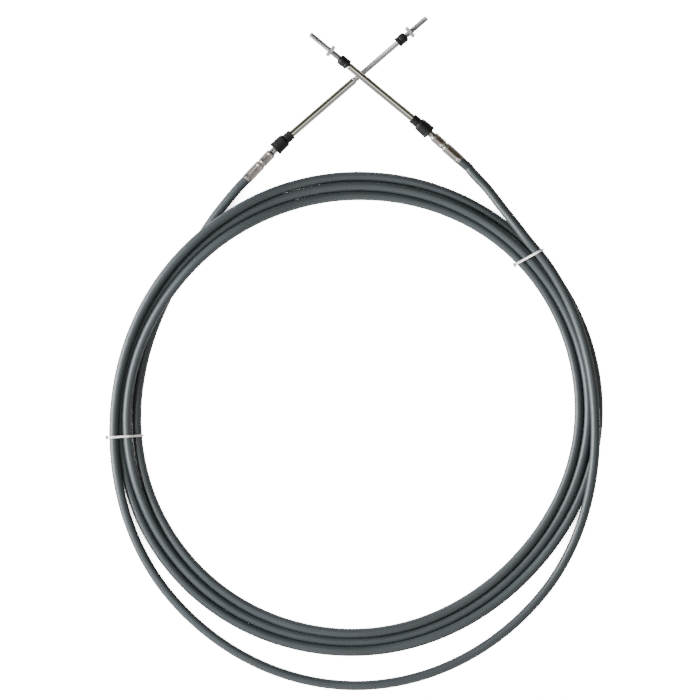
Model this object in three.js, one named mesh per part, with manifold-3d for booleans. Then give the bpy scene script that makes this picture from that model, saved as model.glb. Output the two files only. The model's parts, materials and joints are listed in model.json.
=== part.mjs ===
// Throttle and shift cable of a motor boat, lying coiled and tied as it is sold.
// Units are millimetres and +Z is up. The origin is on the floor, under the middle of the whole part.
// Each end has a crimped hub, a swivelling support tube under a rubber boot, and a rod that slides in the tube.
// Pushing one rod in pushes the other one out.

import * as THREE from 'three';
import { mergeVertices } from 'three/addons/utils/BufferGeometryUtils.js';
import Module from 'manifold-3d';

const wasm = await Module();
wasm.setup();

const UP = new THREE.Vector3(0, 0, 1);
const CLEARANCE = 0.3;
const TURNED_SIDES = 24;
const BALL_STEPS = 8;
const OUTLINE_POINTS = 32;
const NUT_BORE_POINTS = 10;
const CUT_THROUGH = 1;

// Conduit: the outer jacket and what is inside it
const CONDUIT_DIAMETER = 8.1;
const CONDUIT_SIDES = 10;
const CONDUIT_STEPS = 290;
const STUB_DIAMETER = 7.0;
const STUB_LENGTH = 17.7;
const STUB_OVERLAP = 2;
const LEAD_STEP = 5;

// Hub: the fitting that is crimped on the conduit. Places along it are measured from the swivel ball.
const HUB_REAR = -42.2;
const HUB_SLEEVE_DIAMETER = 9.1;
const HUB_WAIST = -22.9;
const HUB_WAIST_WIDTH = 1.6;
const HUB_WAIST_DEPTH = 0.4;
const HUB_FRONT_DIAMETER = 8.5;
const HUB_FRONT_END = -11.1;
const HUB_TAPER = 1.5;
const NECK_DIAMETER = 6.0;
const HEAD_REAR = -5.1;
const HEAD_FRONT = 2.0;
const HEAD_DIAMETER = 9.8;
const EDGE = 0.4;
const CORE_HOLE_DIAMETER = 3.0;

// Support tube with its swivel ball
const BALL_DIAMETER = 8.0;
const TUBE_DIAMETER = 6.35;
const TUBE_BORE = 5.4;
const TUBE_BORE_START = 6.0;
const TUBE_LENGTH = 85.7;

// Rubber boot over the swivel
const BOOT_WALL = 1.1;
const BOOT_REAR_WALL = 0.7;
const BOOT_FRONT = 6.8;
const BOOT_FRONT_CHAMFER = 1.0;
const COLLAR_WALL = 1.0;
const COLLAR_END_WALL = 0.65;
const COLLAR_LENGTH = 13.8;

// Sliding rod, its wiper seal and its jam nut
const ROD_DIAMETER = 4.76;
const ROD_LENGTH = 105.1;
const THREAD_DIAMETER = 4.83;
const THREAD_LENGTH = 25.4;
const THREAD_CHAMFER = 0.5;
const SEAL_DIAMETER = 9.0;
const SEAL_LENGTH = 9.5;
const SEAL_EDGE = 0.8;
const NUT_ACROSS_FLATS = 9.53;
const NUT_THICKNESS = 3.2;
const STROKE = 49;

// Cable ties
const TIE_THICKNESS = 1.1;
const TIE_WIDTH = 2.6;
const TIE_CLEARANCE = 0.4;
const TIE_HEAD = { along: 4.4, proud: 2.4, width: 3.6 };
const TIE_SPREAD = 30;
const TIES = {
  left: { bearing: 185.5, skew: -2.3 },
  right: { bearing: 42.3, skew: -13.6 },
};

// Coil: bearings are in degrees, counted anticlockwise round the coil centre from +X
const COIL_CENTRE_X = 3.0;
const COIL_CENTRE_Y = -53.1;
const COIL_RADIUS = 200;
const STEPS_PER_TURN = 72;
const COIL_STEP = 360 / STEPS_PER_TURN;
const TURN_GAP = 0.25;
const TURN_SPACING = CONDUIT_DIAMETER + TURN_GAP;
const PULL_REACH = 0.9;
const PULL_SHARE = 0.1;
const SETTLE_ROUNDS = 1000;
const SETTLE_RATE = 0.6;
const SETTLE_SMOOTHING = 0.3;
const HELD_STEPS = 6;

// Places that the cable passes: bearing, then how far outside the coil radius and how high over its
// lowest lane it lies, both counted in conduit diameters
const COIL_STATIONS = [
  [115, 3.06, 0.30], [120, 2.33, 0.26], [125, 1.53, 0.15], [130, 0.81, 0.04],
  [135, 0.26, 0.00], [142.5, -0.37, 0.00], [150, -0.84, 0.00], [165, -1.12, 0.00],
  [180, -1.10, 0.00], [225, -0.85, 0.00], [270, -1.09, 0.28], [315, -1.48, 0.12],
  [360, -0.85, 0.00], [405, -0.68, 0.00], [450, -1.26, 0.00], [495, -1.02, 1.62],
  [540, 0.01, 0.81], [585, 0.19, 0.00], [630, -0.20, 0.00], [675, -0.56, 0.00],
  [720, 0.19, 0.25], [765, 0.20, 0.59], [810, -0.21, 0.25], [855, -0.16, 1.04],
  [900, 0.65, 0.00], [945, 1.22, 0.00], [990, 0.68, 0.32], [1035, 0.36, 0.25],
  [1080, 1.22, 0.00], [1125, 1.06, 0.00], [1170, 0.83, 0.00], [1215, 0.70, 1.62],
  [1260, 1.33, 0.81], [1305, 3.36, 0.00], [1350, 4.46, 0.00], [1395, 3.07, 0.00],
  [1440, 0.81, 1.33], [1485, 1.38, 1.48], [1490, 1.78, 1.26], [1495, 2.37, 0.81],
  [1500, 3.25, 0.40], [1505, 4.15, 0.07], [58.6, 5.98, 1.11],
];
const COIL_START = COIL_STATIONS[1][0];
const COIL_END = COIL_STATIONS.at(-2)[0];

// The two ends: where the swivel ball lies outside the coil, which way its hub and its tube point, where the
// seal and the nut sit behind the rod's tip, and how far the rod is pulled out
const BALL_A_OUT = 43.8;
const BALL_A_HEIGHT = 6.5;
const SEAL_A_TO_TIP = 33.7;
const NUT_A_TO_TIP = 20.9;
const BALL_B_OUT = 55.2;
const BALL_B_HEIGHT = 9.0;
const SEAL_B_TO_TIP = 42.8;
const NUT_B_TO_TIP = 24.8;
const ENDS = [
  {
    name: 'a',
    bearing: 105.97,
    out: BALL_A_OUT,
    height: BALL_A_HEIGHT,
    hubBearing: 46.3,
    tubeBearing: 40.75,
    rise: 0,
    sealToTip: SEAL_A_TO_TIP,
    nutToTip: NUT_A_TO_TIP,
    pulledOut: STROKE,
  },
  {
    name: 'b',
    bearing: 76.73,
    out: BALL_B_OUT,
    height: BALL_B_HEIGHT,
    hubBearing: 138.25,
    tubeBearing: 140.7,
    rise: 5.2,
    sealToTip: SEAL_B_TO_TIP,
    nutToTip: NUT_B_TO_TIP,
    pulledOut: 0,
  },
];

const MATERIALS = {
  jacket: new THREE.MeshStandardMaterial({ color: 0x4a5161, roughness: 0.45, metalness: 0, flatShading: true }),
  hub: new THREE.MeshStandardMaterial({ color: 0xb3aca6, roughness: 0.35, metalness: 1, flatShading: true }),
  tube: new THREE.MeshStandardMaterial({ color: 0xd0cdc8, roughness: 0.2, metalness: 1, flatShading: true }),
  rod: new THREE.MeshStandardMaterial({ color: 0x9c9b99, roughness: 0.3, metalness: 1, flatShading: true }),
  nut: new THREE.MeshStandardMaterial({ color: 0xc4c2bd, roughness: 0.3, metalness: 1, flatShading: true }),
  rubber: new THREE.MeshStandardMaterial({ color: 0x191919, roughness: 0.75, metalness: 0, flatShading: true }),
  tie: new THREE.MeshStandardMaterial({ color: 0xeceae4, roughness: 0.5, metalness: 0, flatShading: true }),
};

// Solids for joining and cutting
function toSolid(geometry) {
  const bare = geometry.clone();
  bare.deleteAttribute('normal');
  bare.deleteAttribute('uv');
  const merged = mergeVertices(bare, 1e-4);
  const corners = merged.index.array;
  const kept = [];
  for (let i = 0; i < corners.length; i += 3) {
    const [a, b, c] = [corners[i], corners[i + 1], corners[i + 2]];
    if (a !== b && b !== c && c !== a) kept.push(a, b, c);
  }
  return new wasm.Manifold(new wasm.Mesh({
    numProp: 3,
    vertProperties: new Float32Array(merged.attributes.position.array),
    triVerts: new Uint32Array(kept),
  }));
}

function fromSolid(solid) {
  const mesh = solid.getMesh();
  const geometry = new THREE.BufferGeometry();
  geometry.setAttribute('position', new THREE.BufferAttribute(new Float32Array(mesh.vertProperties), 3));
  geometry.setIndex(new THREE.BufferAttribute(new Uint32Array(mesh.triVerts), 1));
  return geometry;
}

// A turned body about +Y, from points of radius and place along the axis
function turned(profile, sides = TURNED_SIDES) {
  const points = profile.map(([radius, along]) => new THREE.Vector2(radius, along));
  if (points[0].x > 0) points.push(points[0].clone());
  return new THREE.LatheGeometry(points, sides);
}

// Points on a circle about the axis, from one place along it to another
function ballPoints(radius, from, to) {
  const start = Math.asin(from / radius);
  const end = Math.asin(to / radius);
  return Array.from({ length: BALL_STEPS + 1 }, (_, i) => {
    const angle = start + ((end - start) * i) / BALL_STEPS;
    return [radius * Math.cos(angle), radius * Math.sin(angle)];
  });
}

function direction(bearing, rise = 0) {
  const turn = THREE.MathUtils.degToRad(bearing);
  const lift = THREE.MathUtils.degToRad(rise);
  return new THREE.Vector3(Math.cos(turn) * Math.cos(lift), Math.sin(turn) * Math.cos(lift), Math.sin(lift));
}

// The placement of a body whose own +Y runs along an axis and whose own +Z looks up
function placement(centre, along) {
  const side = new THREE.Vector3().crossVectors(along, UP).normalize();
  const above = new THREE.Vector3().crossVectors(side, along);
  return new THREE.Matrix4().makeBasis(side, along, above).setPosition(centre);
}

function namedMesh(name, geometry, material, matrix = new THREE.Matrix4()) {
  const mesh = new THREE.Mesh(geometry, material);
  mesh.name = name;
  matrix.decompose(mesh.position, mesh.quaternion, mesh.scale);
  return mesh;
}

// Coil: one smooth value through the stations
function stationValue(bearing, column) {
  const last = COIL_STATIONS.length - 1;
  let i = 0;
  while (i < last - 1 && COIL_STATIONS[i + 1][0] <= bearing) i += 1;
  const slope = (k) => {
    const before = COIL_STATIONS[Math.max(k - 1, 0)];
    const after = COIL_STATIONS[Math.min(k + 1, last)];
    return (after[column] - before[column]) / (after[0] - before[0]);
  };
  const [from, to] = [COIL_STATIONS[i], COIL_STATIONS[i + 1]];
  const span = to[0] - from[0];
  const t = (bearing - from[0]) / span;
  const ease = t * t * (3 - 2 * t);
  const level = from[column] + (to[column] - from[column]) * ease;
  if (column === 2) return level * CONDUIT_DIAMETER;
  const curved = level + span * t * (1 - t) * ((1 - t) * slope(i) - t * slope(i + 1));
  return COIL_RADIUS + curved * CONDUIT_DIAMETER;
}

// A tie passes under the coil and lifts it a little
function tieLift(bearing) {
  const height = TIE_THICKNESS + TIE_CLEARANCE + CLEARANCE;
  return Object.values(TIES).reduce((sum, tie) => {
    const away = Math.abs(((bearing - tie.bearing + 180) % 360) - 180);
    if (away >= TIE_SPREAD) return sum;
    return sum + height * Math.cos(((away / TIE_SPREAD) * Math.PI) / 2) ** 2;
  }, 0);
}

// Turns that are too close push each other apart, and turns that nearly touch draw together
function settledCoil() {
  const coil = [];
  for (let bearing = COIL_START; bearing <= COIL_END; bearing += COIL_STEP) {
    const floor = tieLift(bearing);
    coil.push({ bearing, floor, radius: stationValue(bearing, 1), height: stationValue(bearing, 2) + floor });
  }
  const chosen = coil.map(({ radius, height }) => ({ radius, height }));
  const freedom = coil.map((_, i) => Math.min(1, i / HELD_STEPS, (coil.length - 1 - i) / HELD_STEPS));
  for (let round = 0; round < SETTLE_ROUNDS; round += 1) {
    const push = coil.map(() => ({ radius: 0, height: 0 }));
    for (let i = 0; i < coil.length; i += 1) {
      for (let j = i + STEPS_PER_TURN; j < coil.length; j += STEPS_PER_TURN) {
        const out = coil[j].radius - coil[i].radius;
        const up = coil[j].height - coil[i].height;
        const apart = Math.hypot(out, up);
        if (apart >= TURN_SPACING + PULL_REACH) continue;
        const strength = apart < TURN_SPACING ? 1 : PULL_SHARE;
        const share = (strength * (TURN_SPACING - apart)) / apart / (freedom[i] + freedom[j]);
        push[i].radius -= out * share * freedom[i];
        push[i].height -= up * share * freedom[i];
        push[j].radius += out * share * freedom[j];
        push[j].height += up * share * freedom[j];
      }
    }
    coil.forEach((place, i) => {
      place.radius += SETTLE_RATE * push[i].radius;
      place.height = Math.max(place.height + SETTLE_RATE * push[i].height, place.floor);
    });
    for (const value of ['radius', 'height']) {
      const moved = coil.map((place, i) => place[value] - chosen[i][value]);
      for (let i = 1; i < coil.length - 1; i += 1) {
        const nearby = (moved[i - 1] + 2 * moved[i] + moved[i + 1]) / 4;
        coil[i][value] = chosen[i][value] + moved[i] + SETTLE_SMOOTHING * (nearby - moved[i]);
      }
    }
  }
  return coil;
}

function coilPoint({ bearing, radius, height }) {
  return direction(bearing).multiplyScalar(radius).setZ(height + CONDUIT_DIAMETER / 2);
}

// Hub: crimped sleeve, waist, neck and the head with the ball socket
function makeHub() {
  const socketRadius = BALL_DIAMETER / 2 + CLEARANCE;
  const coreRadius = CORE_HOLE_DIAMETER / 2;
  const pocketRadius = STUB_DIAMETER / 2 + CLEARANCE;
  const pocketEnd = HUB_REAR + STUB_LENGTH + CLEARANCE;
  const sleeveRadius = HUB_SLEEVE_DIAMETER / 2;
  const frontRadius = HUB_FRONT_DIAMETER / 2;
  const waistRadius = frontRadius - HUB_WAIST_DEPTH;
  const socketBottom = -Math.sqrt(socketRadius ** 2 - coreRadius ** 2);
  return turned([
    [pocketRadius, HUB_REAR],
    [sleeveRadius - EDGE, HUB_REAR],
    [sleeveRadius, HUB_REAR + EDGE],
    [sleeveRadius, HUB_WAIST - HUB_WAIST_WIDTH / 2],
    [waistRadius, HUB_WAIST - HUB_WAIST_WIDTH / 4],
    [waistRadius, HUB_WAIST + HUB_WAIST_WIDTH / 4],
    [frontRadius, HUB_WAIST + HUB_WAIST_WIDTH / 2],
    [frontRadius, HUB_FRONT_END],
    [NECK_DIAMETER / 2, HUB_FRONT_END + HUB_TAPER],
    [NECK_DIAMETER / 2, HEAD_REAR],
    [HEAD_DIAMETER / 2 - EDGE, HEAD_REAR],
    [HEAD_DIAMETER / 2, HEAD_REAR + EDGE],
    [HEAD_DIAMETER / 2, HEAD_FRONT],
    ...ballPoints(socketRadius, HEAD_FRONT, socketBottom),
    [coreRadius, pocketEnd],
    [pocketRadius, pocketEnd],
  ]);
}

// Support tube: the ball end and the long straight tube
function makeSwivelTube() {
  const ballRadius = BALL_DIAMETER / 2;
  const coreRadius = CORE_HOLE_DIAMETER / 2;
  const tubeRadius = TUBE_DIAMETER / 2;
  const ballRear = -Math.sqrt(ballRadius ** 2 - coreRadius ** 2);
  const ballFront = Math.sqrt(ballRadius ** 2 - tubeRadius ** 2);
  return turned([
    ...ballPoints(ballRadius, ballRear, ballFront),
    [tubeRadius, TUBE_LENGTH],
    [TUBE_BORE / 2, TUBE_LENGTH],
    [TUBE_BORE / 2, TUBE_BORE_START],
    [coreRadius, TUBE_BORE_START],
  ]);
}

// Boot: a cup over the head of the hub, and a collar round the tube, which may point another way
function makeBoot(hubPlace, tubePlace) {
  const headRadius = HEAD_DIAMETER / 2 + CLEARANCE;
  const neckRadius = NECK_DIAMETER / 2 + CLEARANCE;
  const cupRadius = headRadius + BOOT_WALL;
  const collarBore = TUBE_DIAMETER / 2 + CLEARANCE;
  const innerRear = HEAD_REAR - CLEARANCE - EDGE / 4;
  const outerRear = innerRear - BOOT_REAR_WALL;
  const innerFront = BOOT_FRONT - BOOT_WALL - EDGE;
  const cup = toSolid(turned([
    [0, outerRear],
    [cupRadius - EDGE, outerRear],
    [cupRadius, outerRear + EDGE],
    [cupRadius - EDGE, BOOT_FRONT - BOOT_FRONT_CHAMFER],
    [collarBore + COLLAR_WALL + EDGE, BOOT_FRONT],
    [0, BOOT_FRONT],
  ])).transform(hubPlace.elements);
  const collar = toSolid(turned([
    [0, HEAD_FRONT],
    [collarBore + COLLAR_WALL, HEAD_FRONT],
    [collarBore + COLLAR_WALL, BOOT_FRONT],
    [collarBore + COLLAR_END_WALL, COLLAR_LENGTH],
    [0, COLLAR_LENGTH],
  ])).transform(tubePlace.elements);
  const inside = toSolid(turned([
    [0, outerRear - CUT_THROUGH],
    [neckRadius, outerRear - CUT_THROUGH],
    [neckRadius, innerRear],
    [headRadius, innerRear],
    [headRadius, HEAD_FRONT + EDGE],
    [headRadius - BOOT_REAR_WALL, innerFront],
    [0, innerFront],
  ])).transform(hubPlace.elements);
  const bore = toSolid(turned([
    [0, 0],
    [collarBore, 0],
    [collarBore, COLLAR_LENGTH + CUT_THROUGH],
    [0, COLLAR_LENGTH + CUT_THROUGH],
  ])).transform(tubePlace.elements);
  return fromSolid(cup.add(collar).subtract(inside.add(bore)));
}

// Rod: its places run back from the threaded tip
function makeRod(tip) {
  const threadRadius = THREAD_DIAMETER / 2;
  const rodRadius = ROD_DIAMETER / 2;
  return turned([
    [0, tip - ROD_LENGTH],
    [rodRadius, tip - ROD_LENGTH],
    [rodRadius, tip - THREAD_LENGTH],
    [threadRadius, tip - THREAD_LENGTH],
    [threadRadius, tip - THREAD_CHAMFER],
    [threadRadius - THREAD_CHAMFER, tip],
    [0, tip],
  ]);
}

function makeSeal(rear) {
  const front = rear + SEAL_LENGTH;
  const outerRadius = SEAL_DIAMETER / 2;
  const boreRadius = ROD_DIAMETER / 2 + CLEARANCE;
  return turned([
    [boreRadius, rear],
    [outerRadius, rear],
    [outerRadius, front - SEAL_EDGE],
    [outerRadius - SEAL_EDGE, front],
    [boreRadius, front],
  ]);
}

// Jam nut: a hexagon with one corner up, on the thread
function makeJamNut(rear) {
  const cornerRadius = NUT_ACROSS_FLATS / Math.sqrt(3);
  const boreRadius = THREAD_DIAMETER / 2 + CLEARANCE;
  const hexagon = new THREE.Shape();
  for (let corner = 0; corner < 6; corner += 1) {
    const angle = Math.PI / 2 + (corner * Math.PI) / 3;
    const point = new THREE.Vector2(cornerRadius * Math.cos(angle), cornerRadius * Math.sin(angle));
    if (corner === 0) hexagon.moveTo(point.x, point.y);
    else hexagon.lineTo(point.x, point.y);
  }
  const bore = new THREE.Path().absarc(0, 0, boreRadius, 0, 2 * Math.PI, true);
  hexagon.holes.push(bore);
  const nut = new THREE.ExtrudeGeometry(hexagon, {
    depth: NUT_THICKNESS,
    bevelEnabled: false,
    curveSegments: NUT_BORE_POINTS,
  });
  nut.rotateX(-Math.PI / 2);
  nut.translate(0, rear, 0);
  return nut;
}

// Conduit: straight out of one hub, round the coil, and straight into the other hub
function makeConduit(coil, hubPlaces) {
  const [hubA, hubB] = hubPlaces;
  const onAxis = (place, along) => new THREE.Vector3(0, along, 0).applyMatrix4(place);
  const conduitEnd = HUB_REAR - CLEARANCE;
  const points = [
    onAxis(hubA, conduitEnd),
    onAxis(hubA, conduitEnd - LEAD_STEP),
    onAxis(hubA, conduitEnd - 2 * LEAD_STEP),
    ...coil.slice(1).map(coilPoint),
    onAxis(hubB, conduitEnd - 2 * LEAD_STEP),
    onAxis(hubB, conduitEnd - LEAD_STEP),
    onAxis(hubB, conduitEnd),
  ];
  const route = new THREE.CatmullRomCurve3(points, false, 'centripetal');
  route.arcLengthDivisions = 20 * CONDUIT_STEPS;
  const section = new THREE.Shape();
  section.absarc(0, 0, CONDUIT_DIAMETER / 2, 0, 2 * Math.PI, false);
  const ring = new THREE.Shape(section.getSpacedPoints(CONDUIT_SIDES).slice(0, CONDUIT_SIDES));
  let conduit = toSolid(new THREE.ExtrudeGeometry(ring, { steps: CONDUIT_STEPS, extrudePath: route }));
  for (const place of hubPlaces) {
    const stub = toSolid(turned([
      [0, conduitEnd - STUB_OVERLAP],
      [STUB_DIAMETER / 2, conduitEnd - STUB_OVERLAP],
      [STUB_DIAMETER / 2, HUB_REAR + STUB_LENGTH],
      [0, HUB_REAR + STUB_LENGTH],
    ])).transform(place.elements);
    conduit = conduit.add(stub);
  }
  return fromSolid(conduit);
}

// Outline round circles: the convex hull of points on them
function outlineRound(centres, radius) {
  const points = centres.flatMap((centre) => Array.from({ length: OUTLINE_POINTS }, (_, i) => {
    const angle = (i / OUTLINE_POINTS) * 2 * Math.PI;
    return new THREE.Vector2(centre.x + radius * Math.cos(angle), centre.y + radius * Math.sin(angle));
  }));
  points.sort((a, b) => a.x - b.x || a.y - b.y);
  const turnLeft = (a, b, c) => (b.x - a.x) * (c.y - a.y) - (b.y - a.y) * (c.x - a.x) > 1e-9;
  const half = (list) => {
    const chain = [];
    for (const point of list) {
      while (chain.length > 1 && !turnLeft(chain.at(-2), chain.at(-1), point)) chain.pop();
      chain.push(point);
    }
    return chain.slice(0, -1);
  };
  return [...half(points), ...half([...points].reverse())];
}

// Where each turn of the coil lies at one bearing
function turnsAt(coil, bearing) {
  const turns = [];
  for (let turn = 0; turn * 360 + bearing <= COIL_END; turn += 1) {
    const exact = (turn * 360 + bearing - COIL_START) / COIL_STEP;
    if (exact < 0) continue;
    const [before, after] = [coil[Math.floor(exact)], coil[Math.ceil(exact)]];
    const t = exact - Math.floor(exact);
    const radius = THREE.MathUtils.lerp(before.radius, after.radius, t);
    const height = THREE.MathUtils.lerp(before.height, after.height, t);
    turns.push(new THREE.Vector2(radius, height + CONDUIT_DIAMETER / 2));
  }
  return turns;
}

// Tie: a band round the turns at one bearing, laid a little skew, with its head on one flank
function makeTie(coil, { bearing, skew }, headSide) {
  const turns = turnsAt(coil, bearing);
  const middle = turns.reduce((sum, turn) => sum + turn.x, 0) / turns.length;
  const stretch = 1 / Math.cos(THREE.MathUtils.degToRad(skew));
  const crossed = turns.map((turn) => new THREE.Vector2((turn.x - middle) * stretch, turn.y));
  const innerRadius = (CONDUIT_DIAMETER / 2) * stretch + TIE_CLEARANCE;
  const band = new THREE.Shape(outlineRound(crossed, innerRadius + TIE_THICKNESS));
  band.holes.push(new THREE.Path(outlineRound(crossed, innerRadius)));
  const loop = new THREE.ExtrudeGeometry(band, { depth: TIE_WIDTH, bevelEnabled: false });
  loop.translate(0, 0, -TIE_WIDTH / 2);
  const sorted = [...crossed].sort((a, b) => a.x - b.x);
  const flank = headSide > 0 ? sorted.at(-1) : sorted[0];
  const head = new THREE.BoxGeometry(TIE_HEAD.proud + TIE_THICKNESS, TIE_HEAD.along, TIE_HEAD.width);
  const reach = innerRadius + TIE_THICKNESS / 2 + TIE_HEAD.proud / 2 + TIE_THICKNESS / 4;
  head.translate(flank.x + headSide * reach, flank.y, 0);
  const outline = toSolid(loop).add(toSolid(head));
  const across = direction(bearing + skew);
  const along = new THREE.Vector3().crossVectors(across, UP);
  const place = new THREE.Matrix4().makeBasis(across, UP, along);
  place.setPosition(direction(bearing).multiplyScalar(middle));
  return fromSolid(outline.transform(place.elements));
}

const cable = new THREE.Group();
const coilGroup = new THREE.Group();
coilGroup.position.set(COIL_CENTRE_X, COIL_CENTRE_Y, 0);
cable.add(coilGroup);

const coil = settledCoil();
const balls = ENDS.map(({ bearing, out, height }) => (
  direction(bearing).multiplyScalar(COIL_RADIUS + out).setZ(height)
));
const hubPlaces = ENDS.map(({ hubBearing, rise }, end) => placement(balls[end], direction(hubBearing, rise)));
coilGroup.add(namedMesh('conduit', makeConduit(coil, hubPlaces), MATERIALS.jacket));

ENDS.forEach(({ name, tubeBearing, rise, sealToTip, nutToTip, pulledOut }, end) => {
  const hubPlace = hubPlaces[end];
  const tubePlace = placement(balls[end], direction(tubeBearing, rise));
  const sealRear = TUBE_LENGTH + CLEARANCE + pulledOut;
  const tip = sealRear + sealToTip;
  coilGroup.add(namedMesh(`hub_${name}`, makeHub(), MATERIALS.hub, hubPlace));
  coilGroup.add(namedMesh(`swivel_tube_${name}`, makeSwivelTube(), MATERIALS.tube, tubePlace));
  coilGroup.add(namedMesh(`boot_${name}`, makeBoot(hubPlace, tubePlace), MATERIALS.rubber));
  coilGroup.add(namedMesh(`rod_${name}`, makeRod(tip), MATERIALS.rod, tubePlace));
  coilGroup.add(namedMesh(`rod_seal_${name}`, makeSeal(sealRear), MATERIALS.rubber, tubePlace));
  coilGroup.add(namedMesh(`jam_nut_${name}`, makeJamNut(tip - nutToTip), MATERIALS.nut, tubePlace));
});

coilGroup.add(namedMesh('cable_tie_left', makeTie(coil, TIES.left, 1), MATERIALS.tie));
coilGroup.add(namedMesh('cable_tie_right', makeTie(coil, TIES.right, -1), MATERIALS.tie));

export default cable;
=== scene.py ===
# %% [markdown]
# # A coiled throttle and shift cable
#
# A boat's engine is told what to do by a push-pull cable: a stiff wire slides inside a jacketed
# conduit, and each end of the wire is a rod that moves in and out of a polished support tube.
# The cable is sold as a flat coil held by two nylon ties. The frame below gives every piece its
# place, so this notebook only gives each piece its true surface.

# %% Load the frame that every piece is built around
import json
import math

import bpy
from mathutils import Matrix, Vector


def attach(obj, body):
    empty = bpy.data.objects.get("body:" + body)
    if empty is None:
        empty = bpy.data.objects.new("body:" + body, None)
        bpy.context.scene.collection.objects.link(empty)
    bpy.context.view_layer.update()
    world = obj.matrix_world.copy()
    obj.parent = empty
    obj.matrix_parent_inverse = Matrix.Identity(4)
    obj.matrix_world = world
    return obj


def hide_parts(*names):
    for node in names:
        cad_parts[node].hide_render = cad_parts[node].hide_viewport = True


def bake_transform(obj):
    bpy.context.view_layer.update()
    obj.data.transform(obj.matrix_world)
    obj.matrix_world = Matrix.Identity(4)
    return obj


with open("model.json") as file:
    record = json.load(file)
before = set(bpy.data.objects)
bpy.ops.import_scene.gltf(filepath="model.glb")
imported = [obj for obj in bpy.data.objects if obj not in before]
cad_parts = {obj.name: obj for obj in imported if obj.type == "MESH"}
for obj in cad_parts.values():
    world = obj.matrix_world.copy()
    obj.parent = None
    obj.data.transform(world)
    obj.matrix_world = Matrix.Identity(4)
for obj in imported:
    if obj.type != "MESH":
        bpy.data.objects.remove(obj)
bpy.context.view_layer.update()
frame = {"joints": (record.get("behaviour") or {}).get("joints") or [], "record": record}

MM = 0.001
UP = Vector((0, 0, 1))

# %% [markdown]
# ## The camera
#
# The cable was photographed from straight above with a long lens, which keeps the coil nearly free
# of perspective. A tall camera height and a lens worked out from it give the same framing: one
# pixel of the photograph is 0.87 mm on the table. An orthographic camera would do too, but a long
# lens keeps the slight spread that a real photograph has.

# %% Look straight down through a long lens
PHOTO_WIDTH = 700
PIXEL = 0.87 * MM
PHOTO_CENTRE = Vector((-3.1, 2.6, 0)) * MM
CAMERA_HEIGHT = 6000 * MM


def look_down():
    lens_data = bpy.data.cameras.new("long_lens")
    camera = bpy.data.objects.new("long_lens", lens_data)
    bpy.context.scene.collection.objects.link(camera)
    camera.location = PHOTO_CENTRE + UP * CAMERA_HEIGHT
    lens_data.lens = lens_data.sensor_width * CAMERA_HEIGHT / (PHOTO_WIDTH * PIXEL)
    lens_data.clip_start = 100 * MM
    bpy.context.scene.camera = camera
    return lens_data.lens


print("lens in mm:", round(look_down(), 1))

# %% [markdown]
# ## The coil's route
#
# A real cable is wound turn by turn and the turns shove each other aside until they lie side by
# side. The same idea makes the route: listed stations say roughly where each turn runs, and
# a loop then pushes turns apart where they come closer than a diameter. A tie passes below the
# coil, so the turns rise a little near it. Drawing the coil by hand would be quicker at first, but
# neighbouring turns would soon run through each other.

# %% Stations of the coil: bearing, then diameters outside the coil radius and above the lowest lane
CONDUIT_DIAMETER = 8.1
COIL_CENTRE = Vector((3.0, -53.1, 0))
COIL_RADIUS = 200
STEPS_PER_TURN = 72
COIL_STEP = 360 // STEPS_PER_TURN
COIL_STATIONS = [
    (115, 3.06, 0.30), (120, 2.33, 0.26), (125, 1.53, 0.15), (130, 0.81, 0.04),
    (135, 0.26, 0.00), (142.5, -0.37, 0.00), (150, -0.84, 0.00), (165, -1.12, 0.00),
    (180, -1.10, 0.00), (225, -0.85, 0.00), (270, -1.09, 0.28), (315, -1.48, 0.12),
    (360, -0.85, 0.00), (405, -0.68, 0.00), (450, -1.26, 0.00), (495, -1.02, 1.62),
    (540, 0.01, 0.81), (585, 0.19, 0.00), (630, -0.20, 0.00), (675, -0.56, 0.00),
    (720, 0.19, 0.25), (765, 0.20, 0.59), (810, -0.21, 0.25), (855, -0.16, 1.04),
    (900, 0.65, 0.00), (945, 1.22, 0.00), (990, 0.68, 0.32), (1035, 0.36, 0.25),
    (1080, 1.22, 0.00), (1125, 1.06, 0.00), (1170, 0.83, 0.00), (1215, 0.70, 1.62),
    (1260, 1.33, 0.81), (1305, 3.36, 0.00), (1350, 4.46, 0.00), (1395, 3.07, 0.00),
    (1440, 0.81, 1.33), (1485, 1.38, 1.48), (1490, 1.78, 1.26), (1495, 2.37, 0.81),
    (1500, 3.25, 0.40), (1505, 4.15, 0.07), (58.6, 5.98, 1.11),
]
COIL_START = round(COIL_STATIONS[1][0])
COIL_END = round(COIL_STATIONS[-2][0])
TURN_SPACING = CONDUIT_DIAMETER + 0.25
PULL_REACH = 0.9
PULL_SHARE = 0.1
SETTLE_ROUNDS = 1000
SETTLE_RATE = 0.6
SETTLE_SMOOTHING = 0.3
HELD_STEPS = 6
TIE_THICKNESS = 1.1
TIE_CLEARANCE = 0.4
TIE_OFF_FLOOR = 0.3
TIE_LIFT = TIE_THICKNESS + TIE_CLEARANCE + TIE_OFF_FLOOR
TIE_SPREAD = 30
TIES = {"left": (185.5, -2.3), "right": (42.3, -13.6)}
RADIUS, HEIGHT = 1, 2
print("stations along the coil:", len(COIL_STATIONS))


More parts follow.
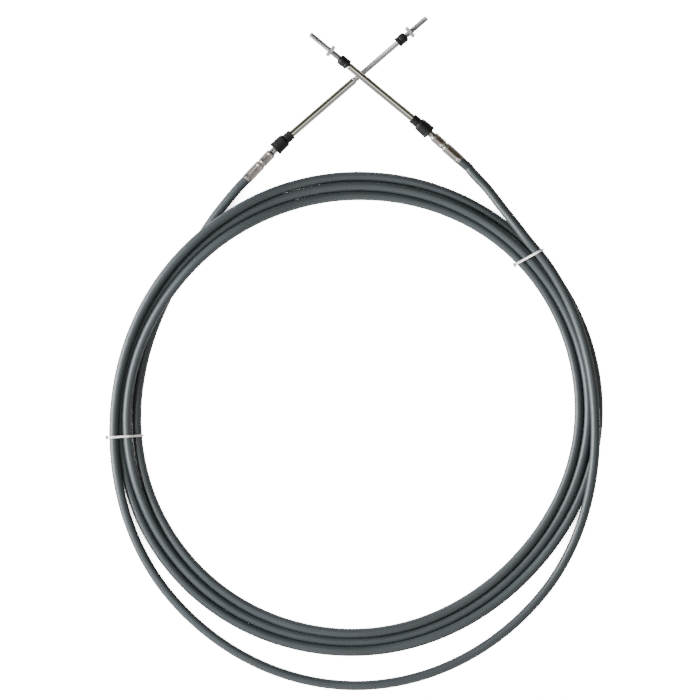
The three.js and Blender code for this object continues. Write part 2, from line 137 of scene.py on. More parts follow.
# %% A smooth value between the stations, and the rise over a tie
def station_value(bearing, column):
    last = len(COIL_STATIONS) - 1
    i = 0
    while i < last - 1 and COIL_STATIONS[i + 1][0] <= bearing:
        i += 1

    def slope(k):
        before = COIL_STATIONS[max(k - 1, 0)]
        after = COIL_STATIONS[min(k + 1, last)]
        return (after[column] - before[column]) / (after[0] - before[0])

    start, stop = COIL_STATIONS[i], COIL_STATIONS[i + 1]
    span = stop[0] - start[0]
    t = (bearing - start[0]) / span
    level = start[column] + (stop[column] - start[column]) * t * t * (3 - 2 * t)
    if column == HEIGHT:
        return level * CONDUIT_DIAMETER
    curved = level + span * t * (1 - t) * ((1 - t) * slope(i) - t * slope(i + 1))
    return COIL_RADIUS + curved * CONDUIT_DIAMETER


def tie_lift(bearing):
    lift = 0
    for tie, _ in TIES.values():
        away = abs((bearing - tie + 180) % 360 - 180)
        if away < TIE_SPREAD:
            lift += TIE_LIFT * math.cos(away / TIE_SPREAD * math.pi / 2) ** 2
    return lift


# %% Let the turns push each other apart, and draw together where they nearly touch
def settled_coil():
    bearings = range(COIL_START, COIL_END + 1, COIL_STEP)
    count = len(bearings)
    floor = [tie_lift(b) for b in bearings]
    chosen = {
        RADIUS: [station_value(b, RADIUS) for b in bearings],
        HEIGHT: [station_value(b, HEIGHT) + floor[i] for i, b in enumerate(bearings)],
    }
    lies = {column: list(values) for column, values in chosen.items()}
    freedom = [min(1, i / HELD_STEPS, (count - 1 - i) / HELD_STEPS) for i in range(count)]
    pairs = [(i, j) for i in range(count) for j in range(i + STEPS_PER_TURN, count, STEPS_PER_TURN)]
    for _ in range(SETTLE_ROUNDS):
        push = {RADIUS: [0.0] * count, HEIGHT: [0.0] * count}
        for i, j in pairs:
            out = lies[RADIUS][j] - lies[RADIUS][i]
            rise = lies[HEIGHT][j] - lies[HEIGHT][i]
            apart = math.hypot(out, rise)
            if apart >= TURN_SPACING + PULL_REACH:
                continue
            strength = 1 if apart < TURN_SPACING else PULL_SHARE
            share = strength * (TURN_SPACING - apart) / apart / (freedom[i] + freedom[j])
            for column, gap in ((RADIUS, out), (HEIGHT, rise)):
                push[column][i] -= gap * share * freedom[i]
                push[column][j] += gap * share * freedom[j]
        for i in range(count):
            lies[RADIUS][i] += SETTLE_RATE * push[RADIUS][i]
            lies[HEIGHT][i] = max(lies[HEIGHT][i] + SETTLE_RATE * push[HEIGHT][i], floor[i])
        for column in (RADIUS, HEIGHT):
            moved = [now - first for now, first in zip(lies[column], chosen[column])]
            for i in range(1, count - 1):
                nearby = (moved[i - 1] + 2 * moved[i] + moved[i + 1]) / 4
                smoother = moved[i] + SETTLE_SMOOTHING * (nearby - moved[i])
                lies[column][i] = chosen[column][i] + smoother
    return list(zip(bearings, lies[RADIUS], lies[HEIGHT]))


def direction(bearing, rise=0):
    turn, lift = math.radians(bearing), math.radians(rise)
    return Vector((math.cos(turn) * math.cos(lift), math.sin(turn) * math.cos(lift), math.sin(lift)))


def coil_point(bearing, radius, height):
    return COIL_CENTRE + direction(bearing) * radius + UP * (height + CONDUIT_DIAMETER / 2)


coil = settled_coil()
print("coil from", round(min(r for _, r, _ in coil)), "to", round(max(r for _, r, _ in coil)), "mm radius")

# %% [markdown]
# ## The two ends
#
# The frame knows where each support tube turns and which way its rod slides, so the ends read
# those from the joints. Only the hub's bearing is added, because the hub doesn't move.

# %% Read the ends from the frame's joints
HUB_REAR = -42.2
HUB_BEARINGS = {"a": (46.3, 0), "b": (138.25, 5.2)}
joints = {joint["name"]: joint for joint in frame["joints"]}
mounts = {mount["name"]: mount for mount in frame["record"]["mounts"]}
ends = {}
for letter, (bearing, rise) in HUB_BEARINGS.items():
    ball = Vector(joints[f"swivel_{letter}_turn"]["pos_m"]) / MM
    tube_axis = Vector(joints[f"rod_{letter}_slide"]["axis"]).normalized()
    tip = Vector(mounts[f"rod_tip_{letter}"]["pos_m"]) / MM
    ends[letter] = {
        "ball": ball,
        "hub_axis": direction(bearing, rise),
        "tube_axis": tube_axis,
        "tip": (tip - ball).dot(tube_axis),
    }
    print("end", letter, "rod tip stands", round(ends[letter]["tip"], 1), "mm from the swivel")


# %% Join leads and coil in one smooth curve
JACKET_INTO_HUB = 1.5
STRAIGHT_BEHIND_HUB = (5.3, 10.3)
PER_SPAN = 5


def between(p0, p1, p2, p3, t):
    """A point of the smooth curve through p1 and p2, with spans timed by the root of their length."""
    t1 = math.sqrt((p1 - p0).length)
    t2 = t1 + math.sqrt((p2 - p1).length)
    t3 = t2 + math.sqrt((p3 - p2).length)
    at = t1 + (t2 - t1) * t
    a1 = p0.lerp(p1, at / t1)
    a2 = p1.lerp(p2, (at - t1) / (t2 - t1))
    a3 = p2.lerp(p3, (at - t2) / (t3 - t2))
    b1 = a1.lerp(a2, at / t2)
    b2 = a2.lerp(a3, (at - t1) / (t3 - t1))
    return b1.lerp(b2, (at - t1) / (t2 - t1))


def smooth_path(points, per_span):
    padded = [points[0] * 2 - points[1], *points, points[-1] * 2 - points[-2]]
    path = []
    for i in range(len(points) - 1):
        path += [between(*padded[i:i + 4], step / per_span) for step in range(per_span)]
    return [*path, points[-1]]


def along_hub(letter, place):
    return ends[letter]["ball"] + ends[letter]["hub_axis"] * place


lead = [HUB_REAR + JACKET_INTO_HUB, *(HUB_REAR - back for back in STRAIGHT_BEHIND_HUB)]
knots = [
    *(along_hub("a", place) for place in lead),
    *(coil_point(*lie) for lie in coil[1:]),
    *(along_hub("b", place) for place in reversed(lead)),
]
route = smooth_path(knots, PER_SPAN)
steps = [0.0]
for before, after in zip(route, route[1:]):
    steps.append(steps[-1] + (after - before).length)
print("conduit length in m:", round(steps[-1] * MM, 3))

# %% [markdown]
# ## Making meshes
#
# Nearly every piece is a stack of rings: a turned piece has round rings on one axis, and the
# conduit has rings that follow the route. So one helper bridges rings into a skin. An outline gets
# its corners eased first, because no real edge is perfectly sharp and the small rounding is what
# catches the light.


# %% A skin over a stack of rings
def mesh_piece(name, points, faces, smooth_angle=35):
    mesh = bpy.data.meshes.new(name)
    mesh.from_pydata([tuple(p * MM) for p in points], [], faces)
    mesh.validate()
    mesh.shade_smooth()
    mesh.set_sharp_from_angle(angle=math.radians(smooth_angle))
    piece = bpy.data.objects.new(name, mesh)
    bpy.context.scene.collection.objects.link(piece)
    return piece


def skin(rings, closed=False, capped=True):
    """Faces between rings of equal size; rings are lists of points, anticlockwise seen from ahead."""
    size = len(rings[0])
    points = [p for ring in rings for p in ring]
    faces = []
    spans = len(rings) if closed else len(rings) - 1
    for r in range(spans):
        here, ahead = r * size, ((r + 1) % len(rings)) * size
        for k in range(size):
            after = (k + 1) % size
            faces.append((here + k, here + after, ahead + after, ahead + k))
    if capped and not closed:
        faces.append(tuple(reversed(range(size))))
        faces.append(tuple((len(rings) - 1) * size + k for k in range(size)))
    return points, faces


# %% Outlines with eased corners, turned about an axis
def eased(outline, ease, closed=True, steps_each=4):
    corners = [Vector(p) for p in outline]
    made = []
    for i, here in enumerate(corners):
        if not closed and i in (0, len(corners) - 1):
            made.append(here)
            continue
        back = corners[i - 1] - here
        ahead = corners[(i + 1) % len(corners)] - here
        bend = back.angle(-ahead)
        reach = min(ease, back.length * 0.45, ahead.length * 0.45)
        if bend < math.radians(8) or reach < 0.02:
            made.append(here)
            continue
        start, stop = here + back.normalized() * reach, here + ahead.normalized() * reach
        for step in range(steps_each + 1):
            t = step / steps_each
            made.append(start * (1 - t) ** 2 + here * (2 * t * (1 - t)) + stop * t * t)
    return made


def turned(name, outline, sides=64, shape=None, hollow=True):
    """Turn an outline of (radius, place) points about the local Z axis; shape may vary the radius."""
    rings = []
    for radius, place in outline:
        ring = []
        for k in range(sides):
            angle = 2 * math.pi * k / sides
            r = shape(radius, place, angle) if shape else radius
            ring.append(Vector((r * math.cos(angle), r * math.sin(angle), place)))
        rings.append(ring)
    return mesh_piece(name, *skin(rings, closed=hollow))


def axis_matrix(centre, axis):
    side = axis.cross(UP).normalized()
    above = side.cross(axis)
    turn = Matrix((side, above * -1, axis)).transposed().to_4x4()
    return Matrix.Translation(centre * MM) @ turn


def set_down(piece, centre, axis):
    piece.matrix_world = axis_matrix(centre, axis)
    return piece


# %% [markdown]
# ## Materials
#
# Every finish is made from noise in the piece's own coordinates, so it stays in place when the
# rods slide. A small helper adds a node and fills its sockets, which keeps each recipe short
# enough to read as a list of what the real surface has: a base, its streaks, its wear.


# %% Helpers for node recipes
class Recipe:
    def __init__(self, name):
        self.material = bpy.data.materials.new(name)
        self.material.use_nodes = True
        self.tree = self.material.node_tree
        self.shader = self.tree.nodes["Principled BSDF"]

    def add(self, kind, sockets=None, **settings):
        made = self.tree.nodes.new("ShaderNode" + kind)
        for key, value in settings.items():
            setattr(made, key, value)
        for key, value in (sockets or {}).items():
            self.feed(made.inputs[key], value)
        return made

    def feed(self, socket, value):
        if isinstance(value, bpy.types.NodeSocket):
            self.tree.links.new(value, socket)
        else:
            socket.default_value = value

    def place(self, stretch, attribute=None):
        """Coordinates in millimetres, stretched so that noise runs long along one axis."""
        if attribute:
            source = self.add("Attribute", attribute_name=attribute).outputs["Vector"]
        else:
            source = self.add("TexCoord").outputs["Object"]
        scale = [s / MM for s in stretch]
        return self.add("Mapping", {"Vector": source, "Scale": scale}).outputs["Vector"]

    def noise(self, place, scale, detail=3.0, rough=0.5):
        made = self.add("TexNoise", {"Vector": place, "Scale": scale, "Detail": detail, "Roughness": rough})
        return made.outputs["Fac"]

    def ramp(self, value, stops):
        made = self.add("ValToRGB", {"Fac": value})
        ramp = made.color_ramp
        ramp.elements[0].position, ramp.elements[0].color = stops[0][0], (*stops[0][1], 1)
        ramp.elements[1].position, ramp.elements[1].color = stops[-1][0], (*stops[-1][1], 1)
        for position, colour in stops[1:-1]:
            ramp.elements.new(position).color = (*colour, 1)
        return made.outputs["Color"]

    def level(self, value, low, high, to_low, to_high):
        made = self.add("MapRange", {"Value": value, "From Min": low, "From Max": high,
                                     "To Min": to_low, "To Max": to_high})
        return made.outputs["Result"]

    def mix(self, share, first, second):
        made = self.add("Mix", data_type="RGBA")
        self.feed(made.inputs["Factor"], share)
        self.feed(made.inputs["A"], first)
        self.feed(made.inputs["B"], second)
        return made.outputs["Result"]

    def bump(self, height, depth, strength=1.0, under=None):
        made = self.add("Bump", {"Height": height, "Distance": depth * MM, "Strength": strength})
        if under:
            self.feed(made.inputs["Normal"], under)
        return made.outputs["Normal"]

    def set(self, **sockets):
        for key, value in sockets.items():
            self.feed(self.shader.inputs[key.replace("_", " ")], value)
        return self.material


def grey(value):
    return (value, value, value)


# %% [markdown]
# ### Jacket
#
# The jacket is extruded polyethylene, slate grey with a satin sheen. The die leaves very fine
# lines along it, the surface has a faint orange peel, and handling rubs pale scuffs into it. The
# recipe reads an unrolled coordinate that is stored on the conduit's mesh, so the lines follow
# the cable round the coil.


# %% Jacket finish
def jacket_finish():
    recipe = Recipe("slate_jacket")
    unrolled = recipe.place((1, 1, 1), "unrolled")
    lines = recipe.noise(recipe.place((0.02, 1, 1), "unrolled"), 3.0, 4.0, 0.6)
    clouds = recipe.noise(recipe.place((0.2, 1, 1), "unrolled"), 0.09, 3.0)
    peel = recipe.noise(unrolled, 2.4, 2.0)
    rubbed = recipe.noise(recipe.place((0.25, 1, 1), "unrolled"), 0.5, 6.0, 0.7)
    base = recipe.ramp(clouds, [(0.3, (0.032, 0.040, 0.044)), (0.7, (0.046, 0.056, 0.061))])
    lined = recipe.mix(recipe.level(lines, 0.35, 0.7, 0.0, 0.35), base, (0.066, 0.077, 0.083, 1))
    scuffed = recipe.mix(recipe.level(rubbed, 0.62, 0.8, 0.0, 0.3), lined, (0.09, 0.10, 0.12, 1))
    fine = recipe.bump(lines, 0.03, 0.5)
    return recipe.set(
        Base_Color=scuffed,
        Roughness=recipe.level(rubbed, 0.3, 0.8, 0.34, 0.5),
        Normal=recipe.bump(peel, 0.02, 0.5, fine),
        Specular_IOR_Level=0.5,
    )


slate_jacket = jacket_finish()

# %% [markdown]
# ### Metals
#
# The hubs are stainless steel sleeves squeezed in a press, which drags long marks into them. The
# support tubes are drawn and polished, so they mirror the studio. The rods are ground, and their
# threads are duller because oil and dirt stay between the crests.


# %% Steel finishes
def steel_finish(name, dark, light, rough, streak=(1, 1, 0.05), streak_size=2.2, depth=0.02, stain=0.25):
    recipe = Recipe(name)
    streaks = recipe.noise(recipe.place(streak), streak_size, 5.0, 0.65)
    clouds = recipe.noise(recipe.place((1, 1, 0.4)), 0.25, 3.0)
    base = recipe.ramp(streaks, [(0.3, dark), (0.7, light)])
    stained = recipe.mix(recipe.level(clouds, 0.45, 0.75, 0.0, stain), base, (*(c * 0.55 for c in dark), 1))
    return recipe.set(
        Base_Color=stained,
        Metallic=1.0,
        Roughness=recipe.level(streaks, 0.3, 0.75, rough[0], rough[1]),
        Normal=recipe.bump(streaks, depth, 0.6),
    )


crimped_steel = steel_finish(
    "crimped_steel", (0.27, 0.245, 0.23), (0.66, 0.615, 0.585), (0.22, 0.4), (1, 1, 0.02), 0.7, 0.05, 0.1
)
polished_tube = steel_finish(
    "polished_tube", (0.60, 0.575, 0.53), (0.74, 0.715, 0.67), (0.06, 0.13), (1, 1, 0.01), 2.5, 0.004, 0.12
)
ground_rod = steel_finish("ground_rod", grey(0.26), grey(0.36), (0.34, 0.46), (1, 1, 4), 2.0, 0.004)
oiled_thread = steel_finish("oiled_thread", grey(0.36), grey(0.52), (0.38, 0.55), (1, 1, 1), 2.0, 0.01, 0.5)
turned_nut = steel_finish("turned_nut", grey(0.42), grey(0.6), (0.2, 0.34), (1, 1, 3), 1.4, 0.01)

# %% [markdown]
# ### Rubber, nylon and ink
#
# The boots and seals are moulded rubber: nearly black, a little dusty, with a grain too fine to
# see except as softness in the highlight. The ties are natural nylon, which lets some light in,
# and the marks on the jacket are a thin white ink.


# %% Rubber, nylon and ink finishes
def rubber_finish():
    recipe = Recipe("moulded_rubber")
    grain = recipe.noise(recipe.place((1, 1, 1)), 5.0, 3.0, 0.6)
    dust = recipe.noise(recipe.place((1, 1, 1)), 0.6, 5.0, 0.7)
    black = recipe.ramp(grain, [(0.3, grey(0.003)), (0.8, grey(0.007))])
    return recipe.set(
        Base_Color=recipe.mix(recipe.level(dust, 0.55, 0.85, 0.0, 0.25), black, (0.03, 0.028, 0.026, 1)),
        Roughness=recipe.level(dust, 0.3, 0.8, 0.45, 0.7),
        Normal=recipe.bump(grain, 0.04, 0.7),
        Specular_IOR_Level=0.3,
    )


def nylon_finish():
    recipe = Recipe("natural_nylon")
    cloudy = recipe.noise(recipe.place((1, 1, 1)), 0.5, 3.0)
    grain = recipe.noise(recipe.place((1, 1, 1)), 6.0, 2.0)
    return recipe.set(
        Base_Color=recipe.ramp(cloudy, [(0.3, (0.87, 0.865, 0.84)), (0.7, (0.94, 0.935, 0.92))]),
        Roughness=recipe.level(grain, 0.3, 0.7, 0.35, 0.5),
        Normal=recipe.bump(grain, 0.02, 0.4),
        Subsurface_Weight=0.25,
        Subsurface_Scale=1.0 * MM,
    )


def ink_finish():
    recipe = Recipe("white_ink")
    worn = recipe.noise(recipe.place((1, 1, 1)), 1.5, 4.0, 0.7)
    return recipe.set(
        Base_Color=recipe.ramp(worn, [(0.35, grey(0.45)), (0.6, (0.72, 0.73, 0.74))]),
        Roughness=recipe.level(worn, 0.3, 0.8, 0.4, 0.6),
    )


moulded_rubber, natural_nylon, white_ink = rubber_finish(), nylon_finish(), ink_finish()
print("finishes:", sorted(m.name for m in bpy.data.materials if m.use_nodes))


def dress(piece, material, slot, *nodes):
    """Give a piece its finish and hide the frame nodes that it stands for; slot is not used."""
    piece.data.materials.append(material)
    if nodes:
        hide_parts(*nodes)
    return piece


# %% [markdown]
# ## The conduit
#
# The jacketed conduit is one long tube. A curve with a round bevel would do, but its surface
# can't carry coordinates along the cable, so the rings are set out here and each point is told
# how far along and how far round it lies. The conduit's length is the route's own length.

# %% Sweep the jacket along the route
CONDUIT_SIDES = 28
JACKET_RADIUS = 4.14


def ring_frame(i):
    """The level direction across the route at a step, and the one that points up from it."""
    ahead = (route[min(i + 1, len(route) - 1)] - route[max(i - 1, 0)]).normalized()
    side = ahead.cross(UP).normalized()
    return side, side.cross(ahead)


def make_jacket():
    rings, unrolled = [], []
    for i, centre in enumerate(route):
        side, above = ring_frame(i)
        ring = []
        for k in range(CONDUIT_SIDES):
            angle = 2 * math.pi * k / CONDUIT_SIDES
            out = (math.cos(angle) * JACKET_RADIUS, math.sin(angle) * JACKET_RADIUS)
            ring.append(centre + side * out[0] + above * out[1])
            unrolled.append(Vector((steps[i], *out)) * MM)
        rings.append(ring)
    piece = mesh_piece("conduit_jacket", *skin(rings))
    place = piece.data.attributes.new("unrolled", "FLOAT_VECTOR", "POINT")
    place.data.foreach_set("vector", [v for point in unrolled for v in point])
    return piece


jacket = dress(make_jacket(), slate_jacket, "jacket", "conduit")
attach(jacket, "root")
print("jacket faces:", len(jacket.data.polygons))

# %% [markdown]
# ### Marks on the jacket
#
# Makers print a line of small characters along the jacket. Here it is a plain row of dots and
# dashes, which says nothing and names nobody. Each mark is a thin patch of ink that lies on the
# jacket's curve, a few hundredths of a millimetre proud.

# %% Print a row of plain marks
MARK_START_BEARING = 1428
MARK_ROUND = 25
MARK_PROUD = 0.03
MARK_WIDTH = 0.9
MARK_PATTERN = "#. # ## .# # .## #. # # .# ## . # #. ## # .# # #"
MARK_PITCH = 0.85
MARK_LENGTH = MARK_PITCH * 0.6


def step_at_bearing(bearing):
    """How far along the route the coil reaches a bearing."""
    target = coil_point(*min(coil, key=lambda lie: abs(lie[0] - bearing)))
    i = min(range(len(route)), key=lambda k: (route[k] - target).length)
    return steps[i]


def surface_point(reach, angle, proud):
    i = max(k for k in range(len(steps)) if steps[k] <= reach)
    t = (reach - steps[i]) / (steps[i + 1] - steps[i])
    centre = route[i].lerp(route[i + 1], t)
    side, above = ring_frame(i)
    out = side * math.cos(angle) + above * math.sin(angle)
    return centre + out * (JACKET_RADIUS + proud)


def make_marks():
    points, faces = [], []
    reach = step_at_bearing(MARK_START_BEARING)
    tilt = math.radians(MARK_ROUND)
    for letter in MARK_PATTERN:
        half = {"#": MARK_WIDTH, ".": MARK_WIDTH / 3, " ": 0}[letter] / (CONDUIT_DIAMETER / 2)
        if half:
            start = len(points)
            for along in (reach, reach + MARK_LENGTH):
                points += [surface_point(along, tilt + half * s, MARK_PROUD) for s in (-1, 0, 1)]
            faces += [(start + k, start + k + 1, start + k + 4, start + k + 3) for k in (0, 1)]
        reach += MARK_PITCH
    return mesh_piece("jacket_marks", points, faces)


marks = dress(make_marks(), white_ink, "tie")
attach(marks, "root")
print("mark patches:", len(marks.data.polygons))

# %% [markdown]
# ## Hubs
#
# A hub is a steel sleeve pushed over the conduit and squeezed in an eight-sided press. It has a
# clamp groove at its waist and a narrow neck before the ball socket. The sleeve is turned from an
# outline, and where the press bit, the circle becomes an octagon with soft corners.

# %% Hub outline and the mark of the press
HUB_RADIUS = 4.55
FRONT_RADIUS = 4.25
GROOVE_RADIUS = 3.75
WAIST = -22.9
FRONT_END = -11.1
NECK_RADIUS = 3.0
HEAD_REAR = -5.1
HEAD_FRONT = 2.0
HEAD_RADIUS = 4.9
SOCKET_RADIUS = 4.3
CORE_RADIUS = 1.5
JACKET_BORE = CONDUIT_DIAMETER / 2 + 0.06
SLEEVE_DEPTH = 18.0
PRESSED = [(-39.4, -26.0, 8), (-20.2, -12.6, 8)]
PRESS_DEPTH = 0.32


def press_shape(radius, place, angle):
    if radius < GROOVE_RADIUS:
        return radius
    for start, stop, flats in PRESSED:
        if start < place < stop:
            fade = min(1, (place - start) / 0.8, (stop - place) / 0.8)
            across = (angle % (2 * math.pi / flats)) - math.pi / flats
            flat = radius * math.cos(math.pi / flats) / math.cos(across)
            return radius + (max(flat, radius - PRESS_DEPTH) - radius) * fade
    return radius


def ball_arc(radius, start, stop, count=10):
    first, last = math.asin(start / radius), math.asin(stop / radius)
    angles = [first + (last - first) * i / count for i in range(count + 1)]
    return [(radius * math.cos(a), radius * math.sin(a)) for a in angles]


def filled(outline, longest):
    """Add points on long straight stretches, so that a shape can vary along them."""
    made = []
    for here, ahead in zip(outline, [*outline[1:], outline[0]]):
        here, ahead = Vector(here), Vector(ahead)
        count = max(1, math.ceil((ahead - here).length / longest))
        made += [here.lerp(ahead, k / count) for k in range(count)]
    return made


def make_hub(letter):
    socket_bottom = -math.sqrt(SOCKET_RADIUS ** 2 - CORE_RADIUS ** 2)
    outside = [
        (JACKET_BORE, HUB_REAR), (HUB_RADIUS, HUB_REAR),
        (HUB_RADIUS, WAIST - 1.6), (GROOVE_RADIUS, WAIST - 1.0), (GROOVE_RADIUS, WAIST + 0.4),
        (FRONT_RADIUS + 0.1, WAIST + 0.7), (FRONT_RADIUS + 0.1, WAIST + 1.9), (FRONT_RADIUS, WAIST + 2.2),
        (FRONT_RADIUS, FRONT_END), (NECK_RADIUS, FRONT_END + 1.5), (NECK_RADIUS, HEAD_REAR),
        (HEAD_RADIUS, HEAD_REAR), (HEAD_RADIUS, HEAD_FRONT),
    ]
    inside = [
        *ball_arc(SOCKET_RADIUS, HEAD_FRONT, socket_bottom),
        (CORE_RADIUS, HUB_REAR + SLEEVE_DEPTH), (JACKET_BORE, HUB_REAR + SLEEVE_DEPTH),
    ]
    outline = filled(eased([*outside, *inside], 0.3), 0.9)
    piece = turned(f"crimped_hub_{letter}", outline, 96, press_shape)
    set_down(piece, ends[letter]["ball"], ends[letter]["hub_axis"])
    dress(piece, crimped_steel, "hub", f"hub_{letter}")
    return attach(piece, "root")


for letter in ends:
    print(make_hub(letter).name, "made")

# %% [markdown]
# ## Support tubes
#
# The polished tube ends in a ball that sits in the hub's socket, so the end can swivel a few
# degrees. Its mouth is rolled in to steady the rod. A turned outline with enough sides gives a
# mirror-smooth skin.

# %% Swivelling support tubes
BALL_RADIUS = 4.0
TUBE_RADIUS = 3.175
TUBE_BORE = 2.7
TUBE_END = 85.7
TUBE_ROOT = 6.0
MOUTH_ROLL = 0.25


def make_tube(letter):
    ball_rear = -math.sqrt(BALL_RADIUS ** 2 - CORE_RADIUS ** 2)
    ball_front = math.sqrt(BALL_RADIUS ** 2 - TUBE_RADIUS ** 2)
    outline = eased([
        *ball_arc(BALL_RADIUS, ball_rear, ball_front),
        (TUBE_RADIUS, TUBE_END - 1.2), (TUBE_RADIUS - MOUTH_ROLL, TUBE_END),
        (TUBE_BORE - 0.1, TUBE_END), (TUBE_BORE, TUBE_END - 1.2),
        (TUBE_BORE, TUBE_ROOT), (CORE_RADIUS, TUBE_ROOT),
    ], 0.25)
    piece = turned(f"support_tube_{letter}", outline, 64)
    set_down(piece, ends[letter]["ball"], ends[letter]["tube_axis"])
    dress(piece, polished_tube, "tube", f"swivel_tube_{letter}")
    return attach(piece, f"swivel_{letter}")


for letter in ends:
    print(make_tube(letter).name, "made")

# %% [markdown]
# ## Boots
#
# A rubber boot keeps water out of the swivel. Its cup grips the hub's head and its collar grips
# the tube, so it bends when the tube swivels. Its rings follow a bent axis, from the hub's line to
# the tube's: each ring is set part way between the two lines, by a share that grows along the boot.

# %% Boots bent from the hub's line to the tube's
BOOT_REAR = -6.1
BOOT_CUP_RADIUS = 6.3
BOOT_SHOULDER = 6.8
BOOT_COLLAR_RADIUS = 4.45
BOOT_END = 13.8


def boot_outline():
    outside = [
        (3.35, BOOT_REAR), (BOOT_CUP_RADIUS - 0.35, BOOT_REAR), (BOOT_CUP_RADIUS, BOOT_REAR + 0.7),
        (BOOT_CUP_RADIUS, BOOT_REAR + 1.9), (BOOT_CUP_RADIUS - 0.3, BOOT_REAR + 2.3),
        (BOOT_CUP_RADIUS - 0.15, BOOT_REAR + 2.9), (BOOT_CUP_RADIUS - 0.45, BOOT_SHOULDER - 2.2),
        (BOOT_CUP_RADIUS - 0.75, BOOT_SHOULDER - 0.9), (BOOT_COLLAR_RADIUS + 0.2, BOOT_SHOULDER),
        (BOOT_COLLAR_RADIUS - 0.35, BOOT_SHOULDER + 0.5), (BOOT_COLLAR_RADIUS, BOOT_SHOULDER + 1.1),
        (BOOT_COLLAR_RADIUS - 0.12, BOOT_END - 2.0), (BOOT_COLLAR_RADIUS - 0.05, BOOT_END - 1.6),
        (BOOT_COLLAR_RADIUS - 0.1, BOOT_END),
    ]
    inside = [
        (3.25, BOOT_END), (3.25, 6.0), (4.3, 5.0), (5.05, 2.6), (5.05, -5.3), (3.35, -5.3),
    ]
    return eased([*outside, *inside], 0.35)


def bend_share(place):
    t = min(1, max(0, (place + 3) / 8))
    return t * t * (3 - 2 * t)


def make_boot(letter, sides=72):
    end = ends[letter]
    on_hub = axis_matrix(end["ball"], end["hub_axis"])
    on_tube = axis_matrix(end["ball"], end["tube_axis"])
    rings = []
    for radius, place in boot_outline():
        share = bend_share(place)
        ring = []
        for k in range(sides):
            angle = 2 * math.pi * k / sides
            local = Vector((radius * math.cos(angle), radius * math.sin(angle), place)) * MM
            ring.append((on_hub @ local).lerp(on_tube @ local, share) / MM)
        rings.append(ring)
    piece = mesh_piece(f"rubber_boot_{letter}", *skin(rings, closed=True))
    dress(piece, moulded_rubber, "rubber", f"boot_{letter}")
    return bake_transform(piece)


for letter in ends:
    print(make_boot(letter).name, "made")

# %% [markdown]
# ## Rods
#
# The rod is ground bar with a rolled fine thread on its last inch. A bump map would look flat
# from the side, so the thread is real: every ring's radius rises and falls with the pitch, and
# the phase turns once round the rod for each pitch.

# %% Sliding rods with real threads
ROD_RADIUS = 2.38
ROD_LENGTH = 105.1
THREAD_LENGTH = 25.4
THREAD_PITCH = 0.794
THREAD_RADIUS = 2.415
THREAD_DEPTH = 0.44
TIP_CHAMFER = 0.5
RINGS_PER_PITCH = 8


def thread_shape(start, stop):
    def shape(radius, place, angle):
        if not start < place < stop:
            return radius
        phase = (place / THREAD_PITCH - angle / (2 * math.pi)) % 1
        tooth = min(1, max(0, abs(phase - 0.5) * 2.6 - 0.2))
        fade = min(1, (place - start) / THREAD_PITCH, (stop - place) / (THREAD_PITCH / 2))
        return radius - THREAD_DEPTH * tooth * fade
    return shape


def make_rod(letter, sides=48):
    tip = ends[letter]["tip"]
    start = tip - THREAD_LENGTH
    thread_end = tip - TIP_CHAMFER
    count = round((thread_end - start) / THREAD_PITCH * RINGS_PER_PITCH)
    crests = [(THREAD_RADIUS, start + (thread_end - start) * i / count) for i in range(count + 1)]
    outline = [
        (0.02, tip - ROD_LENGTH), (ROD_RADIUS - 0.3, tip - ROD_LENGTH), (ROD_RADIUS, tip - ROD_LENGTH + 0.3),
        (ROD_RADIUS, start - 0.05), *crests,
        (THREAD_RADIUS - TIP_CHAMFER, tip), (0.02, tip),
    ]
    shape = thread_shape(start, thread_end + THREAD_PITCH / 2)
    piece = turned(f"sliding_rod_{letter}", outline, sides, shape, hollow=False)
    set_down(piece, ends[letter]["ball"], ends[letter]["tube_axis"])
    dress(piece, ground_rod, "rod", f"rod_{letter}")
    piece.data.materials.append(oiled_thread)
    for face in piece.data.polygons:
        face.material_index = int(face.center.z / MM > start)
    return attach(piece, f"slider_{letter}")


for letter in ends:
    print(make_rod(letter).name, "made")

# %% [markdown]
# ## Seals and jam nuts
#
# A black wiper seal rides on each rod and stops against the tube when the rod is pushed in. Behind
# the thread sits a thin hexagon nut that locks whatever is screwed on the rod. The nut's corners
# are cut by a cone, so each ring's radius is the smaller of the hexagon's and the cone's.

# %% Wiper seals
SEAL_RADIUS = 4.5
SEAL_LENGTH = 9.5
SEAL_TO_TIP = {"a": 33.7, "b": 42.8}


def make_seal(letter):
    rear = ends[letter]["tip"] - SEAL_TO_TIP[letter]
    front = rear + SEAL_LENGTH
    bore = ROD_RADIUS + 0.05
    outline = eased([
        (bore, rear + 0.5), (SEAL_RADIUS - 1.0, rear), (SEAL_RADIUS - 0.1, rear), (SEAL_RADIUS, rear + 0.8),
        (SEAL_RADIUS, rear + 2.6), (SEAL_RADIUS - 0.35, rear + 3.0), (SEAL_RADIUS - 0.35, rear + 3.5),
        (SEAL_RADIUS, rear + 3.9), (SEAL_RADIUS, front - 2.2), (SEAL_RADIUS - 0.3, front - 0.9),
        (SEAL_RADIUS - 1.1, front), (bore + 0.5, front), (bore, front - 0.6),
    ], 0.3)
    piece = turned(f"wiper_seal_{letter}", outline, 64)
    set_down(piece, ends[letter]["ball"], ends[letter]["tube_axis"])
    dress(piece, moulded_rubber, "rubber", f"rod_seal_{letter}")
    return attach(piece, f"slider_{letter}")


for letter in ends:
    print(make_seal(letter).name, "made")

# %% Jam nuts with coned corners
NUT_ACROSS_FLATS = 9.53
NUT_THICKNESS = 3.2
NUT_TO_TIP = {"a": 20.9, "b": 24.8}
NUT_CHAMFER = 0.3
CONE_SLOPE = math.tan(math.radians(30))
CONE_DEPTHS = (0.1, 0.2, 0.35, 0.5, 0.8)


